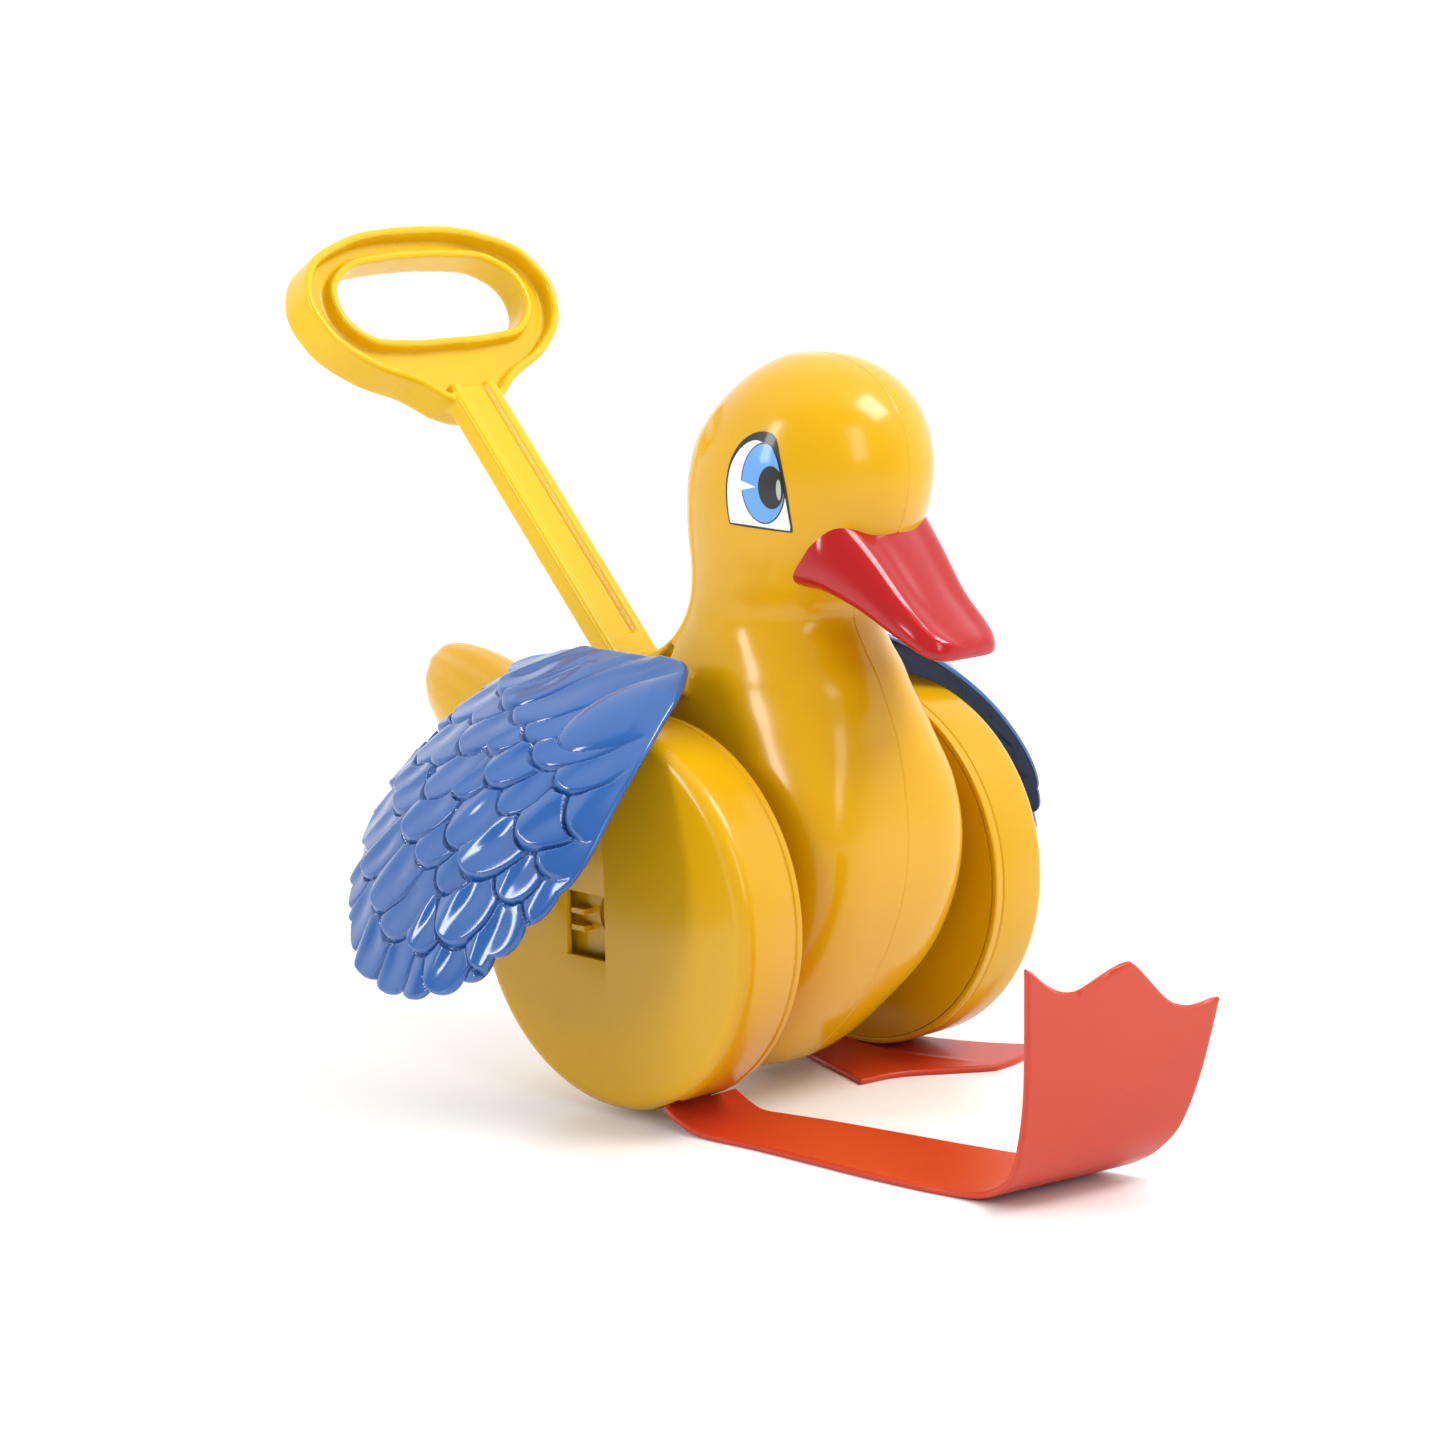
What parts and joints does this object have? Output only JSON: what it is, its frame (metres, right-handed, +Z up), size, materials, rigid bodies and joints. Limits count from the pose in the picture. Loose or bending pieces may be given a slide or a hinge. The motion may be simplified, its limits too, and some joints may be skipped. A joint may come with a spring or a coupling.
{
  "type": "push-along duck toy",
  "caption": "Push-along toy duck on two drum wheels, with webbed feet on straps, flapping wings and a rigid ring-grip handle.",
  "frame": {"origin": "on the floor, below the middle of the whole toy's bounding box", "axes": "+X the way the duck faces, +Y its left, +Z up"},
  "size_m": [0.4461, 0.3106, 0.3269],
  "materials": {
    "body_plastic": "glossy yellow moulding",
    "wheel_plastic": "glossy yellow moulding",
    "handle_plastic": "glossy lighter yellow moulding",
    "beak_plastic": "glossy red moulding",
    "foot_rubber": "smooth flexible red-orange moulding",
    "wing_plastic": "glossy blue moulding with feather relief",
    "bush_plastic": "natural low-friction plastic",
    "eye_film": "printed film",
    "steel": "bright wire"
  },
  "bodies": {
    "body": {"body_shell_right": "body_plastic", "body_shell_left": "body_plastic", "beak": "beak_plastic", "eye_sticker_right": "eye_film", "eye_sticker_left": "eye_film", "handle": "handle_plastic", "handle_pin": "steel", "axle_bush_right": "bush_plastic", "axle_bush_left": "bush_plastic", "wing_pin_right": "steel", "wing_pin_left": "steel", "shell_screws": "steel"},
    "wheels": {"axle": "steel", "cam_disc_right": "bush_plastic", "cam_disc_left": "bush_plastic", "wheel_drum_right": "wheel_plastic", "wheel_drum_left": "wheel_plastic", "wheel_cover_right": "wheel_plastic", "wheel_cover_left": "wheel_plastic", "hub_clip_right": "wheel_plastic", "hub_clip_left": "wheel_plastic", "foot_anchor_right": "steel", "foot_anchor_left": "steel"},
    "foot_right": {"foot_right": "foot_rubber"},
    "foot_left": {"foot_left": "foot_rubber"},
    "wing_right": {"wing_right": "wing_plastic", "wing_arm_right": "wing_plastic"},
    "wing_left": {"wing_left": "wing_plastic", "wing_arm_left": "wing_plastic"}
  },
  "joints": [
    {"name": "wheel_spin", "type": "hinge", "parent": "body", "child": "wheels", "pos_m": [-0.0063, 0, 0.0768], "axis": [0, -1, 0], "continuous": true, "deforming": ["foot_right", "foot_left"]},
    {"name": "foot_right_trail", "type": "hinge", "parent": "wheels", "child": "foot_right", "pos_m": [-0.0063, -0.0635, 0.0768], "axis": [0, -1, 0], "continuous": true, "deforming": ["foot_right"]},
    {"name": "foot_left_trail", "type": "hinge", "parent": "wheels", "child": "foot_left", "pos_m": [-0.0063, 0.0635, 0.0768], "axis": [0, -1, 0], "continuous": true, "deforming": ["foot_left"]},
    {"name": "wing_right_flap", "type": "hinge", "parent": "body", "child": "wing_right", "pos_m": [-0.0263, -0.0475, 0.16], "axis": [-1, 0, 0], "range_deg": [0, 14]},
    {"name": "wing_left_flap", "type": "hinge", "parent": "body", "child": "wing_left", "pos_m": [-0.0263, 0.0475, 0.16], "axis": [1, 0, 0], "range_deg": [0, 14]}
  ],
  "couplings": [
    {"joint": "foot_right_trail", "follows": "wheel_spin", "ratio": -1},
    {"joint": "foot_left_trail", "follows": "wheel_spin", "ratio": -1},
    {"joint": "wing_left_flap", "follows": "wing_right_flap", "ratio": 1}
  ]
}
